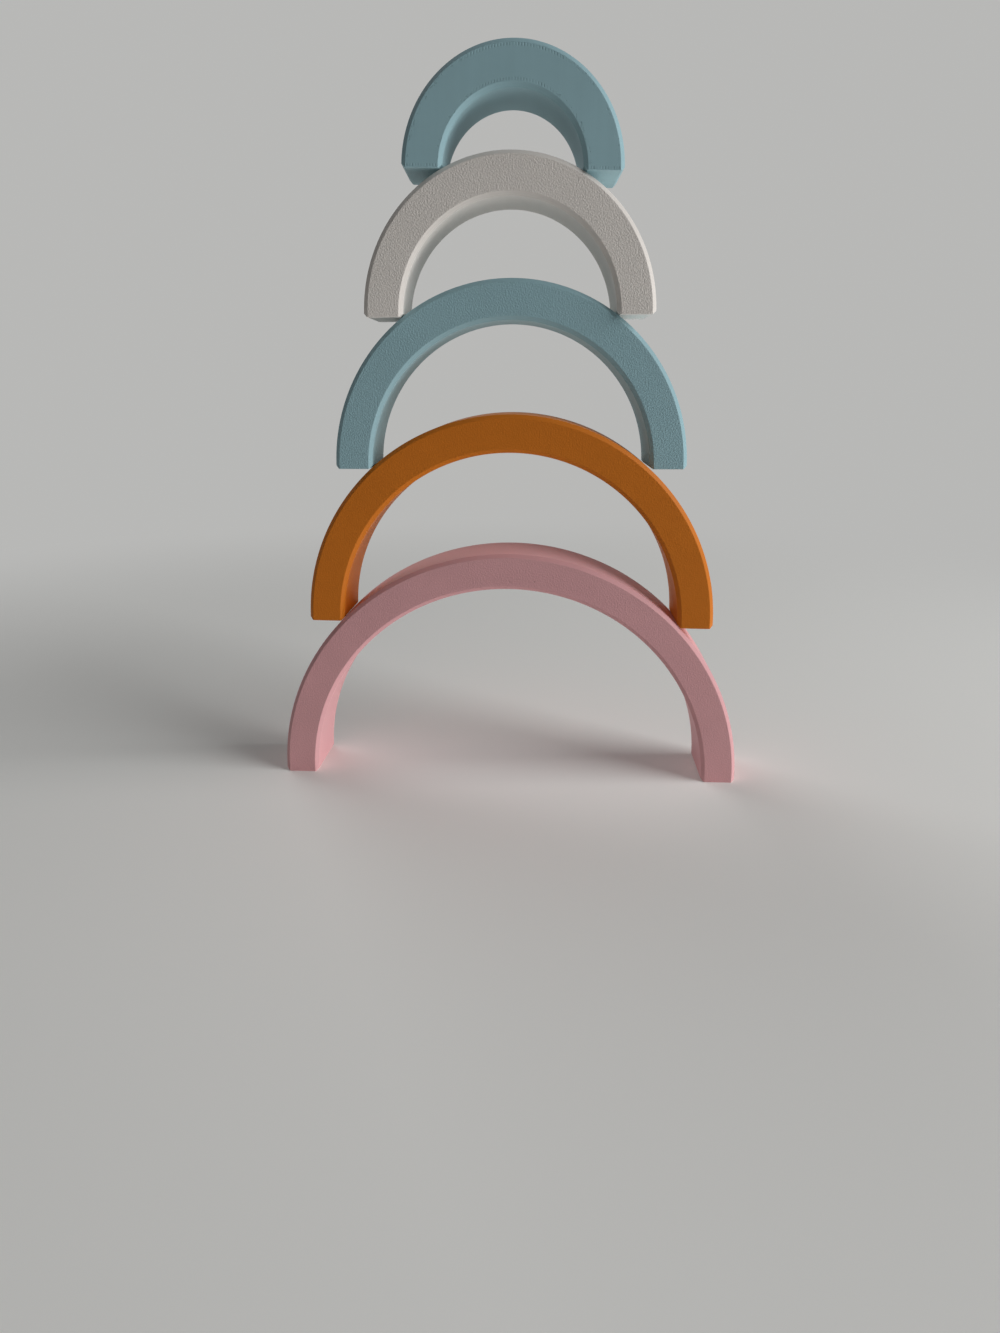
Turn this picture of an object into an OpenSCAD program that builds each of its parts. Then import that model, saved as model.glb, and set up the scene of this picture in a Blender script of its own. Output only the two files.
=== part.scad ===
// Rainbow stacker: five printed half-ring arches, hand stacked into a tower.
// Each arch straddles the crown of the next larger one and only rests there, so it lifts straight off.
// Millimetres, +Z up, front face towards -Y, origin on the ground under the middle of the largest arch.

/* [Arches] */
// Outer radius of the largest arch, half of its width
base_outer_r = 80; // [70:1:120]
// Radial thickness of every arch, from its inside curve to its outside curve
wall = 11.75; // [8:0.25:14]
// Depth of every arch from front face to back face
depth = 24; // [16:1:40]
// Leg of the 45 degree bevel along both curves, on the front face and on the back face
bevel = 1.2; // [0.4:0.1:3]
// Leg of the 45 degree bevel along the inside and outside bottom edges of the feet
foot_bevel = 1; // [0.4:0.1:3]

/* [Fits] */
// Radial gap to the next larger arch when the arches are nested in one another
nest_gap = 0.25; // [0.1:0.05:1]
// Upright gap between an arch's feet and the crown that they straddle
seat_gap = 0.2; // [0.1:0.05:0.6]

/* [Hand stacking] */
// Turn of the orange arch about the upright, in degrees
orange_turn = 0.2; // [-6:0.1:6]
// Turn of the blue arch about the upright, in degrees
blue_turn = 1.8; // [-6:0.1:6]
// Turn of the white arch about the upright, in degrees
white_turn = 2.1; // [-6:0.1:6]
// Turn of the small blue arch about the upright, in degrees
small_blue_turn = 2.8; // [-6:0.1:6]
// Distance of the orange arch behind the pink one
orange_setback = 0.6; // [-5:0.1:5]
// Distance of the blue arch behind the pink one
blue_setback = 1.1; // [-5:0.1:5]
// Distance of the white arch behind the pink one
white_setback = -0.9; // [-5:0.1:5]
// Distance of the small blue arch behind the pink one
small_blue_setback = -1.5; // [-5:0.1:5]
// Rock of the orange arch to the right, round the crown it straddles, in degrees
orange_rock = 0.4; // [-3:0.1:3]
// Rock of the blue arch to the right, round the crown it straddles, in degrees
blue_rock = -0.1; // [-3:0.1:3]
// Rock of the white arch to the right, round the crown it straddles, in degrees
white_rock = -0.5; // [-3:0.1:3]
// Rock of the small blue arch to the right, round the crown it straddles, in degrees
small_blue_rock = 1; // [-3:0.1:3]

/* [Hidden] */
$fn = 180;
// Outer radius falls by one wall and one nesting gap from each arch to the next
ring_step = wall + nest_gap;
// Turn, setback and rock of each arch by its place in the tower, counted up from the ground as place 0
turns = [0, orange_turn, blue_turn, white_turn, small_blue_turn];
setbacks = [0, orange_setback, blue_setback, white_setback, small_blue_setback];
rocks = [0, orange_rock, blue_rock, white_rock, small_blue_rock];
// Colours of the five prints
pink = [0.93, 0.68, 0.69];
orange = [0.90, 0.48, 0.13];
light_blue = [0.62, 0.80, 0.83];
off_white = [0.92, 0.90, 0.87];

function outer_r(place) = base_outer_r - place * ring_step;
function inner_r(place) = outer_r(place) - wall;

// Clear half width between the inside edges of an arch's feet, across the arch below that it is turned on
function foot_half_span(place) =
    let (turn = turns[place] - turns[place - 1])
    inner_r(place) * cos(turn) - (depth / 2 - bevel) * sin(abs(turn));

// Rise from the middle of the arch below, on the level of its feet, to the middle of this one. The bevelled
// inside edge of each foot meets the crown where the crown is as steep as the bevel, or else at the nearer
// end of the bevel.
function seat_height(place) =
    let (
        crown_r = outer_r(place - 1),
        span = foot_half_span(place),
        contact_x = min(max(crown_r * sin(45), span), span + foot_bevel),
        contact_z = sqrt(pow(crown_r, 2) - pow(contact_x, 2))
    )
    contact_z - (span + foot_bevel - contact_x) + seat_gap;

// An arch that rocks stays seated, because its middle swings round the centre of the crown below
function middle_x(place) = place == 0 ? 0 : middle_x(place - 1) + seat_height(place) * sin(rocks[place]);
function middle_z(place) = place == 0 ? 0 : middle_z(place - 1) + seat_height(place) * cos(rocks[place]);

// Cross-section of the half ring: the wall by the depth, with a bevel on each corner
module ring_section(place) {
    near_x = inner_r(place);
    far_x = outer_r(place);
    half = depth / 2;
    polygon([
        [near_x + bevel, -half], [far_x - bevel, -half], [far_x, bevel - half], [far_x, half - bevel],
        [far_x - bevel, half], [near_x + bevel, half], [near_x, half - bevel], [near_x, bevel - half]
    ]);
}

// Half ring standing on its two flat ends, with its axis along Y
module half_ring(place) {
    rotate([90, 0, 0]) rotate_extrude(angle = 180) ring_section(place);
}

// Block round an arch whose slanted lower sides bevel the outside bottom edges of the feet
module outside_edge_block(place) {
    far_x = outer_r(place);
    reach = far_x + foot_bevel;
    rotate([90, 0, 0]) linear_extrude(2 * depth, center = true) polygon([
        [foot_bevel - far_x, 0], [far_x - foot_bevel, 0], [reach, 2 * foot_bevel],
        [reach, reach], [-reach, reach], [-reach, 2 * foot_bevel]
    ]);
}

// Wedge between the feet that bevels their inside bottom edges
module inside_edge_wedge(place) {
    near_x = inner_r(place);
    rotate([90, 0, 0]) linear_extrude(2 * depth, center = true) polygon([
        [-near_x - 2 * foot_bevel, -foot_bevel], [near_x + 2 * foot_bevel, -foot_bevel],
        [near_x - foot_bevel, 2 * foot_bevel], [foot_bevel - near_x, 2 * foot_bevel]
    ]);
}

// One arch as printed, standing on the ground
module arch(place) {
    difference() {
        intersection() {
            half_ring(place);
            outside_edge_block(place);
        }
        inside_edge_wedge(place);
    }
}

// One arch at its place in the tower
module stacked_arch(place) {
    translate([middle_x(place), setbacks[place], middle_z(place)])
        rotate([0, rocks[place], turns[place]]) arch(place);
}

module pink_arch() {
    color(pink) stacked_arch(place = 0);
}

module orange_arch() {
    color(orange) stacked_arch(place = 1);
}

module blue_arch() {
    color(light_blue) stacked_arch(place = 2);
}

module white_arch() {
    color(off_white) stacked_arch(place = 3);
}

module small_blue_arch() {
    color(light_blue) stacked_arch(place = 4);
}

pink_arch();
orange_arch();
blue_arch();
white_arch();
small_blue_arch();
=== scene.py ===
import math

import bmesh
import bpy
from mathutils import Matrix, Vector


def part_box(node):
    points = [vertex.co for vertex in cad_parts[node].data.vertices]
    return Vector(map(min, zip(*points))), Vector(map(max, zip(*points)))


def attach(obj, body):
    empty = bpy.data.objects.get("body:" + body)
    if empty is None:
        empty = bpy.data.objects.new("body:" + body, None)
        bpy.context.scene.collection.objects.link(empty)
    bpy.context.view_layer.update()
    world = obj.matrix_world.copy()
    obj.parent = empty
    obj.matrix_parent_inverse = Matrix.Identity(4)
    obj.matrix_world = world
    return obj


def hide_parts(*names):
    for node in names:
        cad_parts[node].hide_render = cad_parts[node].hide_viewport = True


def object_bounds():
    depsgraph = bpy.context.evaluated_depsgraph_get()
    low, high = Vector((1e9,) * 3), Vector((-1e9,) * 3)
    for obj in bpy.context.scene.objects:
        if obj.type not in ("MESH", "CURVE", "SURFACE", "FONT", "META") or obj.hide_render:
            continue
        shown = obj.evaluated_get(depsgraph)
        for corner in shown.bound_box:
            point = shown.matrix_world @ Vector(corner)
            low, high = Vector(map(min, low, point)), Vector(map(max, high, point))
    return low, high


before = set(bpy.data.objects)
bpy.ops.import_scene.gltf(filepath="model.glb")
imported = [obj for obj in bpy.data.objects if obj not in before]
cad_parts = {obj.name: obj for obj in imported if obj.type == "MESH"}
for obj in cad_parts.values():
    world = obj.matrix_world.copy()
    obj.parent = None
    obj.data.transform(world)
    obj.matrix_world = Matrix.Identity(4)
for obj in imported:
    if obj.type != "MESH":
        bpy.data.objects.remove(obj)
cad_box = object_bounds()

# Pink arch
# The largest half ring, which carries the tower: one solid print in matte pink plastic, laid with its front
# face down on a grained plate. Nothing fixes it; it stands on its two flat ends.
pink_low, pink_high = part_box("pink_arch")
depth = pink_high.y - pink_low.y
wall = 0.01175
edge_bevel = 0.0012
foot_bevel = 0.0010
edge_rounding = 0.00015
rounding_steps = 3
rounded_turn = math.radians(30)
sweep_steps = 240
front, back = -1, 1


def outer_radius(node, turn):
    """Half the width of an arch, from its node's box, which the arch's turn about the upright widens."""
    low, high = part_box(node)
    half_flat = depth / 2 - edge_bevel
    return ((high.x - low.x) / 2 - half_flat * math.sin(abs(turn))) / math.cos(turn)


def arch_mesh(name, outer_r):
    """Half ring about the Y axis: a bevelled section swept from foot to foot, with its foot edges cut."""
    inner_r = outer_r - wall
    near, far = edge_bevel, edge_bevel - foot_bevel
    corners = [(outer_r, near), (outer_r - foot_bevel, far), (outer_r - edge_bevel, 0)]
    corners += [(inner_r + edge_bevel, 0), (inner_r + foot_bevel, far), (inner_r, near)]
    section = [(r, depth / 2 - inset) for r, inset in corners]
    section += [(r, -y) for r, y in reversed(section)]
    mesh = bmesh.new()
    lines = []
    for r, y in section:
        cut = foot_bevel if r in (outer_r, inner_r) else 0
        start = math.asin(cut / r)
        turns = [start + (math.pi - 2 * start) * i / sweep_steps for i in range(sweep_steps + 1)]
        lines.append([mesh.verts.new((r * math.cos(t), y, r * math.sin(t))) for t in turns])
    for this, other in zip(lines, lines[1:] + lines[:1]):
        for i in range(sweep_steps):
            mesh.faces.new((this[i], other[i], other[i + 1], this[i + 1]))
    # Each end is three faces between corners of the section: the flat sole and the two cut edges beside it
    sole = [1, 2, 3, 4, 7, 8, 9, 10]
    outside_cut = [0, 1, 10, 11]
    inside_cut = [4, 5, 6, 7]
    for end in (0, sweep_steps):
        for face in (sole, outside_cut, inside_cut):
            mesh.faces.new([lines[k][end] for k in face])
    bmesh.ops.recalc_face_normals(mesh, faces=mesh.faces)
    for face in mesh.faces:
        face.smooth = True
    data = bpy.data.meshes.new(name)
    mesh.to_mesh(data)
    mesh.free()
    return data


def printed_arch(name, node, turn, rock, outer_r, finish):
    """The dressed arch in place of its node, with softened edges."""
    low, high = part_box(node)
    foot_z = low.z + (outer_r - foot_bevel) * math.sin(abs(rock))
    arch = bpy.data.objects.new(name, arch_mesh(name, outer_r))
    bpy.context.scene.collection.objects.link(arch)
    middle = Matrix.Translation(((low.x + high.x) / 2, (low.y + high.y) / 2, foot_z))
    arch.matrix_world = middle @ Matrix.Rotation(turn, 4, "Z") @ Matrix.Rotation(rock, 4, "Y")
    arch.data.materials.append(finish)
    soften = arch.modifiers.new("soften", "BEVEL")
    soften.width = edge_rounding
    soften.segments = rounding_steps
    soften.limit_method = "ANGLE"
    soften.angle_limit = rounded_turn
    soften.use_clamp_overlap = False
    arch.modifiers.new("even_shading", "WEIGHTED_NORMAL")
    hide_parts(node)
    return arch


class Tap:
    """One output of a finish's node tree. Arithmetic on taps adds Math nodes."""

    def __init__(self, tree, socket=None):
        self.tree = tree
        self.socket = socket

    def node(self, kind, settings, sockets, output=0):
        made = self.tree.nodes.new(kind)
        for name, value in settings.items():
            setattr(made, name, value)
        for name, value in sockets.items():
            if isinstance(value, Tap):
                self.tree.links.new(value.socket, made.inputs[name])
            else:
                made.inputs[name].default_value = value
        return Tap(self.tree, made.outputs[output]) if made.outputs else None

    def out(self, output):
        return Tap(self.tree, self.socket.node.outputs[output])

    def math(self, operation, *values):
        return self.node("ShaderNodeMath", {"operation": operation}, dict(enumerate(values)))

    def __add__(self, other):
        return self.math("ADD", self, other)

    def __radd__(self, other):
        return self.math("ADD", other, self)

    def __sub__(self, other):
        return self.math("SUBTRACT", self, other)

    def __rsub__(self, other):
        return self.math("SUBTRACT", other, self)

    def __mul__(self, other):
        return self.math("MULTIPLY", self, other)

    def __rmul__(self, other):
        return self.math("MULTIPLY", other, self)

    def __truediv__(self, other):
        return self.math("DIVIDE", self, other)

    def __pow__(self, other):
        return self.math("POWER", self, other)

    def __abs__(self):
        return self.math("ABSOLUTE", self)

    def __gt__(self, other):
        return self.math("GREATER_THAN", self, other)

    def lesser(self, other):
        return self.math("MINIMUM", self, other)

    def greater(self, other):
        return self.math("MAXIMUM", self, other)

    def rise(self, low, high):
        """0 below low, 1 above high and smooth between."""
        sockets = {"Value": self, "From Min": low, "From Max": high}
        return self.node("ShaderNodeMapRange", {"interpolation_type": "SMOOTHSTEP"}, sockets)

    def band(self, low, high, soft):
        """1 between low and high, with soft ends."""
        return self.rise(low - soft, low + soft) - self.rise(high - soft, high + soft)

    def pebbles(self, scale, detail):
        """Noise about 0, mostly within a half either way, over a point."""
        sockets = {"Vector": self, "Scale": scale, "Detail": detail}
        return (self.node("ShaderNodeTexNoise", {}, sockets) - 0.5) * 2.5

    def stripes(self, scale, detail):
        """Noise about 0, mostly within a half either way, along one value."""
        sockets = {"W": self, "Scale": scale, "Detail": detail}
        return (self.node("ShaderNodeTexNoise", {"noise_dimensions": "1D"}, sockets) - 0.5) * 2.5


def linear(*levels):
    """A colour given as screen levels from 0 to 255, as linear light."""
    shares = [v / 255 for v in levels]
    return [s / 12.92 if s < 0.04045 else ((s + 0.055) / 1.055) ** 2.4 for s in shares]


millimetre = 0.001
# Millimetres: the last layer is drawn in upright lines, and each pair of lines turns round just short of
# the edge, which leaves a row of pits where the edge crosses the lines. Elsewhere the edge has a few gaps.
line_pair = 0.82
pit_width = 0.32
pit_start = 0.25
pit_end = 0.95
gap_start = 0.1
gap_end = 0.9
row_softness = 0.1
pit_depth = 0.07
line_depth = 0.003
layer_depth = 0.012
pinhole_r = 0.3
# Marks in each millimetre
grain_marks = 2.0
layer_marks = 2.2
line_marks = 2.4
streak_marks = 0.3
pit_changes = 0.6
gap_marks = 1.4
mottle_marks = 0.06
# Where the flat faces begin, by how squarely they look forward or back, where the lines cross the edge, by
# how upright the radius is, and where the gaps open, by their noise
face_range = (0.80, 0.95)
crossed_range = (0.82, 0.93)
gap_range = (0.26, 0.36)
pit_mean = 0.7
# A dark and a light tint lie this share to either side of the colour
tint_spread = 0.10
# How far each mark moves from one tint to the other, which for the grain is for each millimetre of depth
mottle_tint = 0.25
# Painted shade: the grain's hollows are darker and its rises lighter
grain_painted_shade = 8
# Painted shade: the grooves between the layers are darker and their ridges lighter
layer_painted_shade = 0.15
streak_tint = 0.15
# Painted shade: the pits and pinholes are darker inside
pit_painted_shade = 0.5
# Matte all over, and a little smoother on the curved walls
face_roughness = 0.58
mottle_roughness = 0.04
wall_smoothness = 0.06
gloss = 0.15


def printed_plastic(name, colour, outer_r, plate_side, grain_depth, pinholes=()):
    """Matte printed plastic, grained on the plate side, lined on the last layer, with shade painted in its
    hollows.
    """
    material = bpy.data.materials.new(name)
    material.use_nodes = True
    material.node_tree.nodes.clear()
    place = Tap(material.node_tree).node("ShaderNodeTexCoord", {}, {}, "Object")
    sockets = {"Vector": place, "Scale": 1 / millimetre}
    mm = place.node("ShaderNodeVectorMath", {"operation": "SCALE"}, sockets)
    x = mm.node("ShaderNodeSeparateXYZ", {}, {"Vector": mm}, "X")
    y = x.out("Y")
    z = x.out("Z")
    facing = mm.node("ShaderNodeSeparateXYZ", {}, {"Vector": place.out("Normal")}, "Y")
    flat = abs(facing).rise(*face_range)
    plate = flat * (facing * plate_side > 0)
    last_layer = flat - plate
    sides = 1 - flat

    grain = mm.pebbles(grain_marks, 1)
    layers = y.stripes(layer_marks, 2)
    lines = x.stripes(line_marks, 1)
    streaks = x.stripes(streak_marks, 2)
    mottle = mm.pebbles(mottle_marks, 3)

    radius = (x * x + z * z) ** 0.5
    outer_edge = (outer_r - edge_bevel) / millimetre - radius
    inner_edge = radius - (outer_r - wall + edge_bevel) / millimetre
    curve_edge = outer_edge.lesser(inner_edge)
    crossed = (z / radius).rise(*crossed_range)
    curve_row = curve_edge.band(pit_start, pit_end, row_softness) * crossed
    sole_row = z.band(pit_start, pit_end, row_softness)
    between_pairs = 1 - x.math("PINGPONG", x, line_pair / 2).rise(0.3 * pit_width, 0.7 * pit_width)
    rows = curve_row.greater(sole_row) * between_pairs * (pit_mean + x.stripes(pit_changes, 1))
    gaps = curve_edge.band(gap_start, gap_end, row_softness) * (1 - crossed)
    gaps = gaps * mm.pebbles(gap_marks, 1).rise(*gap_range)
    pits = last_layer * rows.greater(gaps)
    for hole_x, hole_z in pinholes:
        away = ((x - hole_x) ** 2 + (z - hole_z) ** 2) ** 0.5
        pits = pits.greater(plate * (1 - away.rise(0.5 * pinhole_r, 1.5 * pinhole_r)))

    relief = plate * grain * grain_depth + sides * layers * layer_depth
    height = relief + last_layer * lines * line_depth - pits * pit_depth
    bump = mm.node("ShaderNodeBump", {}, {"Strength": 1, "Distance": millimetre, "Height": height})
    # The tint follows the relief of the grain and the layers and darkens the pits, which paints shade into
    # their hollows; the mottle and the streaks are the plastic's own tone
    shade = 0.5 + mottle_tint * mottle + plate * grain * (grain_depth * grain_painted_shade)
    shade = shade + layer_painted_shade * sides * layers + streak_tint * last_layer * streaks - pit_painted_shade * pits
    dark = [c * (1 - tint_spread) for c in colour] + [1]
    light = [c * (1 + tint_spread) for c in colour] + [1]
    tint = mm.node("ShaderNodeMix", {"data_type": "RGBA"}, {0: shade, 6: dark, 7: light}, 2)
    roughness = face_roughness + mottle_roughness * mottle - wall_smoothness * sides
    sockets = {"Base Color": tint, "Roughness": roughness, "Normal": bump, "Specular IOR Level": gloss}
    surface = mm.node("ShaderNodeBsdfPrincipled", {}, sockets)
    surface.node("ShaderNodeOutputMaterial", {}, {"Surface": surface})
    return material


pink_r = outer_radius("pink_arch", 0)
pink_grain = 0.048
# Two pinholes in the front face, in millimetres from the middle of the arch
pink_pinholes = [(0.6, 70.9), (8.7, 71.0)]
pink_print = printed_plastic("pink_print", linear(226, 171, 174), pink_r, front, pink_grain, pink_pinholes)
pink_arch = printed_arch("pink_arch_print", "pink_arch", 0, 0, pink_r, pink_print)
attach(pink_arch, "pink")

# Orange arch
# The second half ring, printed in orange plastic the same way. It straddles the crown of the pink arch and
# only rests there, on the bevelled inside edges of its feet.
orange_turn = math.radians(0.2)
orange_rock = math.radians(0.4)
orange_r = outer_radius("orange_arch", orange_turn)
orange_grain = 0.038
orange_print = printed_plastic("orange_print", linear(214, 122, 35), orange_r, front, orange_grain)
orange_arch = printed_arch(
    "orange_arch_print", "orange_arch", orange_turn, orange_rock, orange_r, orange_print
)
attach(orange_arch, "orange")

# Blue arch
# The middle half ring, printed in light blue plastic with its front face on the plate. It rests on the
# crown of the orange arch, turned a little by the hand that stacked it.
blue_turn = math.radians(1.8)
blue_rock = math.radians(-0.1)
blue_r = outer_radius("blue_arch", blue_turn)
light_blue = linear(154, 188, 196)
blue_grain = 0.066
blue_print = printed_plastic("blue_print", light_blue, blue_r, front, blue_grain)
blue_arch = printed_arch("blue_arch_print", "blue_arch", blue_turn, blue_rock, blue_r, blue_print)
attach(blue_arch, "blue")

# White arch
# The fourth half ring, printed in off-white plastic, which shows the plate's grain most. It rests on the
# crown of the blue arch.
white_turn = math.radians(2.1)
white_rock = math.radians(-0.5)
white_r = outer_radius("white_arch", white_turn)
white_grain = 0.072
white_print = printed_plastic("white_print", linear(230, 224, 218), white_r, front, white_grain)
white_arch = printed_arch("white_arch_print", "white_arch", white_turn, white_rock, white_r, white_print)
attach(white_arch, "white")

# Small blue arch
# The smallest half ring, on top, in the same light blue plastic. It is stacked with the plate side to the
# back, so its front shows the drawn lines of the last printed layer.
top_turn = math.radians(2.8)
top_rock = math.radians(1.0)
top_r = outer_radius("small_blue_arch", top_turn)
top_print = printed_plastic("small_blue_print", light_blue, top_r, back, blue_grain)
top_arch = printed_arch("small_blue_arch_print", "small_blue_arch", top_turn, top_rock, top_r, top_print)
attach(top_arch, "small_blue")

# Studio
# A pale floor that curves up into a pale round wall, and fades into its even glow away from the tower, so
# that every side has the same plain background. The wall neither shades the arches nor lights them, and
# the floor lets the low lamp through.
floor_r = 0.6
cove_r = 0.5
cove_steps = 24
wall_top = 3.0
wall_level = 0.48
glow_colour = (1, 1, 0.98, 1)
card_colour = linear(246, 246, 243) + [1]
glow_start = 0.20
glow_full = 0.60
round_steps = 128


def pale_card():
    """Matte pale card, which turns into an even glow away from the tower."""
    material = bpy.data.materials.new("pale_card")
    material.use_nodes = True
    material.node_tree.nodes.clear()
    place = Tap(material.node_tree).node("ShaderNodeTexCoord", {}, {}, "Object")
    x = place.node("ShaderNodeSeparateXYZ", {}, {"Vector": place}, "X")
    y = x.out("Y")
    away = (x * x + y * y) ** 0.5
    sockets = {"Base Color": card_colour, "Roughness": 1, "Specular IOR Level": 0}
    lit = place.node("ShaderNodeBsdfPrincipled", {}, sockets)
    glow = place.node("ShaderNodeEmission", {}, {"Color": glow_colour, "Strength": wall_level})
    mixed = place.node("ShaderNodeMixShader", {}, {0: away.rise(glow_start, glow_full), 1: lit, 2: glow})
    place.node("ShaderNodeOutputMaterial", {}, {"Surface": mixed})
    return material


card = pale_card()


def stage_card(name, outline):
    """A card turned round the upright axis, from (radius, height) points. A lone point makes a disc."""
    mesh = bmesh.new()
    rings = []
    for r, h in outline:
        angles = [2 * math.pi * i / round_steps for i in range(round_steps)]
        rings.append([mesh.verts.new((r * math.cos(a), r * math.sin(a), h)) for a in angles])
    if len(rings) == 1:
        mesh.faces.new(rings[0])
    for inner, outer in zip(rings, rings[1:]):
        for i in range(round_steps):
            j = (i + 1) % round_steps
            mesh.faces.new((inner[i], outer[i], outer[j], inner[j])).smooth = True
    data = bpy.data.meshes.new(name)
    mesh.to_mesh(data)
    mesh.free()
    data.materials.append(card)
    made = bpy.data.objects.new(name, data)
    bpy.context.scene.collection.objects.link(made)
    return made


cove_turns = [math.pi / 2 * i / cove_steps for i in range(cove_steps + 1)]
cove = [(floor_r + cove_r * math.sin(a), cove_r - cove_r * math.cos(a)) for a in cove_turns]
floor = stage_card("floor", [(floor_r, 0)])
floor.visible_shadow = False
backdrop = stage_card("backdrop", cove + [(floor_r + cove_r, wall_top)])
backdrop.visible_diffuse = False
backdrop.visible_shadow = False

# Light
# One soft lamp stands to the right, a little in front and above, as a window would. A weaker one below it
# lights the soles. A weak one behind on the left and an even pale sky fill the shaded sides.
sky_level = 0.05
lamp_target = Matrix.Translation((0, 0, cad_box[1].z / 2))

sky = bpy.data.worlds.new("sky")
sky.use_nodes = True
sky.node_tree.nodes["Background"].inputs["Color"].default_value = (1, 1, 1, 1)
sky.node_tree.nodes["Background"].inputs["Strength"].default_value = sky_level
bpy.context.scene.world = sky


def soft_lamp(name, level, size, distance, azimuth, elevation):
    """A square lamp that lights a white surface facing it to the level. Azimuth 0 is in front, 90 right."""
    data = bpy.data.lights.new(name, "AREA")
    data.energy = level * (math.pi * distance) ** 2
    data.size = size
    lamp = bpy.data.objects.new(name, data)
    aim = Matrix.Rotation(math.radians(azimuth), 4, "Z")
    aim = aim @ Matrix.Rotation(math.radians(90 - elevation), 4, "X")
    lamp.matrix_world = lamp_target @ aim @ Matrix.Translation((0, 0, distance))
    lamp.visible_camera = False
    bpy.context.scene.collection.objects.link(lamp)


soft_lamp("window_lamp", level=0.75, size=1.1, distance=1.6, azimuth=75, elevation=28)
soft_lamp("low_lamp", level=0.36, size=0.8, distance=1.6, azimuth=83, elevation=-30)
soft_lamp("back_lamp", level=0.25, size=2.0, distance=3.0, azimuth=-140, elevation=35)

# Camera
# The view of the photograph, from close by and just above the middle of the tower, through a wide lens.
# Its place, pitch, pan and focal length were fitted to the edges of the arches.
photo_height_px = 1333
focal_px = 857.8
camera_pitch = math.radians(18.43)
camera_pan = math.radians(3.607)
camera = bpy.data.objects.new("camera", bpy.data.cameras.new("camera"))
camera.location = (0.01495, -0.28976, 0.13414)
camera.rotation_euler = (math.pi / 2 - camera_pitch, 0, camera_pan)
camera.data.lens = focal_px / photo_height_px * camera.data.sensor_width
camera.data.clip_start = 0.01
bpy.context.scene.collection.objects.link(camera)
bpy.context.scene.camera = camera
bpy.context.scene.view_settings.view_transform = "Standard"
